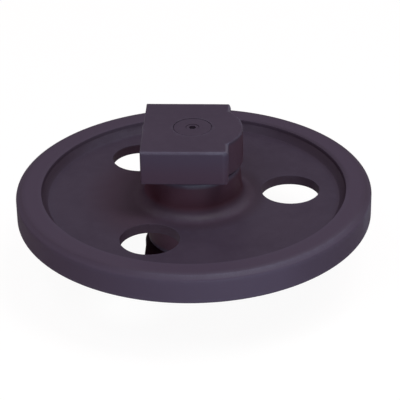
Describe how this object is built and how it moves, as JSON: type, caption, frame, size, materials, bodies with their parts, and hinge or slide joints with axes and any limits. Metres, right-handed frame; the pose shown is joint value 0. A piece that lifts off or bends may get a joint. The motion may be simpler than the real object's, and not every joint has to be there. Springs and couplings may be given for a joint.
{
  "type": "front idler group",
  "caption": "Front idler of a tracked undercarriage: a webbed wheel with round holes turns on a fixed shaft held between two sliding guide brackets.",
  "frame": {"origin": "centre of the wheel, on the shaft axis in the wheel's middle plane", "axes": "+Z along the shaft towards the end with the filler plug, +X from the tensioner's side to the nose, +Y square to the guide faces"},
  "size_m": [0.35, 0.35, 0.159],
  "materials": {
    "wheel_primer": "matt dark violet-black primer on a casting",
    "bracket_primer": "matt dark violet-black primer on machined and cast faces",
    "shaft_steel": "ground steel, its ends under the same primer",
    "plug_steel": "plug under the same primer",
    "screw_steel": "black screw",
    "pin_steel": "ground",
    "bush_bronze": "bored bronze",
    "seal_iron": "lapped",
    "seal_rubber": "matt"
  },
  "bodies": {
    "axle": {"shaft": "shaft_steel", "bracket_upper": "bracket_primer", "bracket_lower": "bracket_primer", "seal_ring_bracket_upper": "seal_iron", "seal_ring_bracket_lower": "seal_iron", "toric_bracket_upper": "seal_rubber", "toric_bracket_lower": "seal_rubber", "shaft_o_ring_upper": "seal_rubber", "shaft_o_ring_lower": "seal_rubber", "lock_pin_upper": "pin_steel", "lock_pin_lower": "pin_steel", "lock_screw_upper": "screw_steel", "lock_screw_lower": "screw_steel", "oil_plug": "plug_steel"},
    "wheel": {"idler_wheel": "wheel_primer", "bush_upper": "bush_bronze", "bush_lower": "bush_bronze", "seal_ring_wheel_upper": "seal_iron", "seal_ring_wheel_lower": "seal_iron", "toric_wheel_upper": "seal_rubber", "toric_wheel_lower": "seal_rubber"}
  },
  "joints": [
    {"name": "wheel_spin", "type": "hinge", "parent": "axle", "child": "wheel", "pos_m": [0, 0, 0], "axis": [0, 0, 1], "continuous": true}
  ]
}
